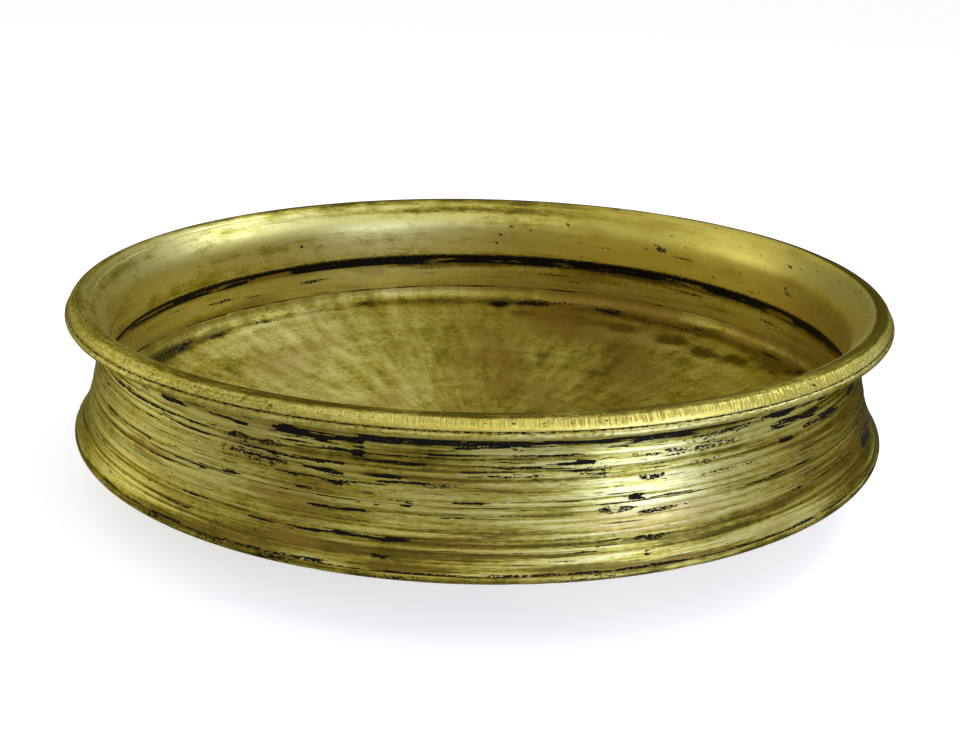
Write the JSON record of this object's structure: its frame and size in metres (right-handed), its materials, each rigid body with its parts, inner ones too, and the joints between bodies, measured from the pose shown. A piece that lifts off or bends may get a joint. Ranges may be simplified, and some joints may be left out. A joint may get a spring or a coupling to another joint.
{
  "type": "offering vessel",
  "caption": "Shallow round cast-brass offering vessel with a rolled rim, a waisted wall, a sharp foot edge and a dished base.",
  "frame": {"origin": "centre of the flat resting face under the base pan", "axes": "+Z is the vessel's turning axis, up through the open mouth; X and Y are level"},
  "size_m": [0.4, 0.4, 0.0942],
  "materials": {
    "collar_brass": "aged, hand-rubbed, turned and filed",
    "wall_brass": "aged, deeply turned rings with dark residue",
    "pan_brass": "aged, worn smooth, brown in the corner",
    "braze": "dull brown brazing metal"
  },
  "bodies": {
    "vessel": {"rim_collar": "collar_brass", "wall_ring": "wall_brass", "base_pan": "pan_brass", "upper_braze_bead": "braze", "lower_braze_bead": "braze"}
  },
  "joints": []
}
